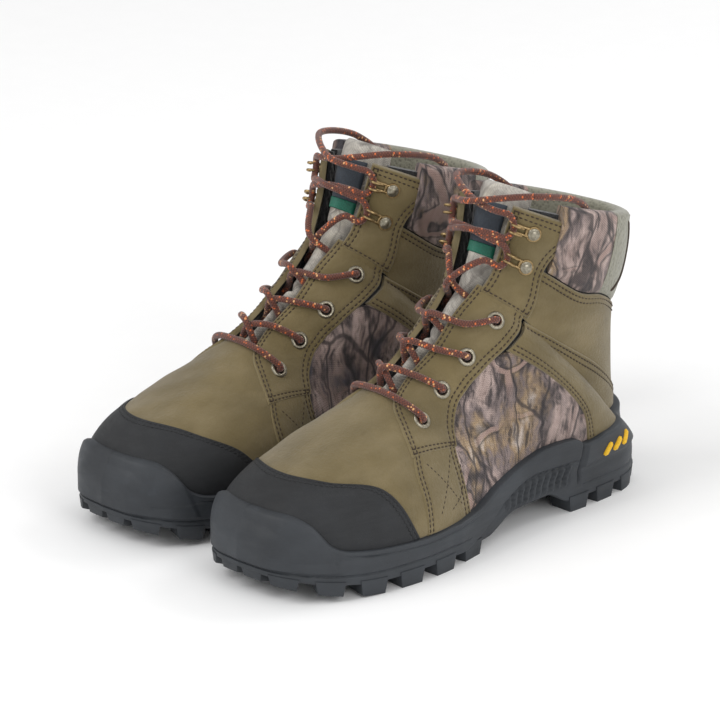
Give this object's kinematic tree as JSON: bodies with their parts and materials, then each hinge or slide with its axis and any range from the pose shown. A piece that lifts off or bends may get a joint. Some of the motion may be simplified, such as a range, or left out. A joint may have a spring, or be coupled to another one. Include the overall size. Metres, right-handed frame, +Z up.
{
  "type": "pair of hunting boots",
  "caption": "Pair of ankle-high lace-up boots with leather panels, camouflage textile, padded tongue, lugged rubber sole and rubber toe cap.",
  "frame": {"origin": "centre of the pair on the ground", "axes": "+X toward the left boot, toes toward -Y, +Z up"},
  "size_m": [0.2352, 0.308, 0.202],
  "materials": {
    "nubuck": "matte olive nubuck",
    "camo": "woven textile with a bark and twig print",
    "tongue_camo": "pale woven textile with a twig print",
    "sole_rubber": "matte moulded rubber",
    "toe_rubber": "matte rubberised overlay",
    "foam": "closed-cell foam",
    "board": "pressed fibre board",
    "lining": "padded knit lining",
    "nickel": "dull nickel",
    "antique_brass": "antique brass, worn",
    "lace": "round braid with orange flecks"
  },
  "bodies": {
    "left_boot": {"left_outsole": "sole_rubber", "left_midsole": "foam", "left_insole_board": "board", "left_footbed": "lining", "left_toe_cap": "toe_rubber", "left_vamp": "nubuck", "left_heel_quarter": "nubuck", "left_ankle_panel": "nubuck", "left_collar": "camo", "left_lining": "lining", "left_lace": "lace", "left_outer_eyestay": "nubuck", "left_outer_side_panel": "camo", "left_outer_hook_panel": "nubuck", "left_outer_eyelet_1": "nickel", "left_outer_eyelet_2": "nickel", "left_outer_eyelet_3": "nickel", "left_outer_eyelet_4": "nickel", "left_outer_hook_1": "antique_brass", "left_outer_hook_2": "antique_brass", "left_inner_eyestay": "nubuck", "left_inner_side_panel": "camo", "left_inner_hook_panel": "nubuck", "left_inner_eyelet_1": "nickel", "left_inner_eyelet_2": "nickel", "left_inner_eyelet_3": "nickel", "left_inner_eyelet_4": "nickel", "left_inner_hook_1": "antique_brass", "left_inner_hook_2": "antique_brass"},
    "left_tongue_flap": {"left_tongue": "tongue_camo"},
    "right_boot": {"right_outsole": "sole_rubber", "right_midsole": "foam", "right_insole_board": "board", "right_footbed": "lining", "right_toe_cap": "toe_rubber", "right_vamp": "nubuck", "right_heel_quarter": "nubuck", "right_ankle_panel": "nubuck", "right_collar": "camo", "right_lining": "lining", "right_lace": "lace", "right_outer_eyestay": "nubuck", "right_outer_side_panel": "camo", "right_outer_hook_panel": "nubuck", "right_outer_eyelet_1": "nickel", "right_outer_eyelet_2": "nickel", "right_outer_eyelet_3": "nickel", "right_outer_eyelet_4": "nickel", "right_outer_hook_1": "antique_brass", "right_outer_hook_2": "antique_brass", "right_inner_eyestay": "nubuck", "right_inner_side_panel": "camo", "right_inner_hook_panel": "nubuck", "right_inner_eyelet_1": "nickel", "right_inner_eyelet_2": "nickel", "right_inner_eyelet_3": "nickel", "right_inner_eyelet_4": "nickel", "right_inner_hook_1": "antique_brass", "right_inner_hook_2": "antique_brass"},
    "right_tongue_flap": {"right_tongue": "tongue_camo"}
  },
  "joints": [
    {"name": "right_boot_slide", "type": "slide", "parent": "left_boot", "child": "right_boot", "axis": [-1, 0, 0], "range_m": [0, 0.15]},
    {"name": "left_tongue_hinge", "type": "hinge", "parent": "left_boot", "child": "left_tongue_flap", "pos_m": [0.059, -0.036, 0.086], "axis": [1, 0, 0], "range_deg": [-10, 0], "stiffness_Nm_per_rad": 0.5, "springref_deg": 3.44},
    {"name": "right_tongue_hinge", "type": "hinge", "parent": "right_boot", "child": "right_tongue_flap", "pos_m": [-0.059, -0.036, 0.086], "axis": [1, 0, 0], "range_deg": [-10, 0], "stiffness_Nm_per_rad": 0.5, "springref_deg": 3.44}
  ]
}
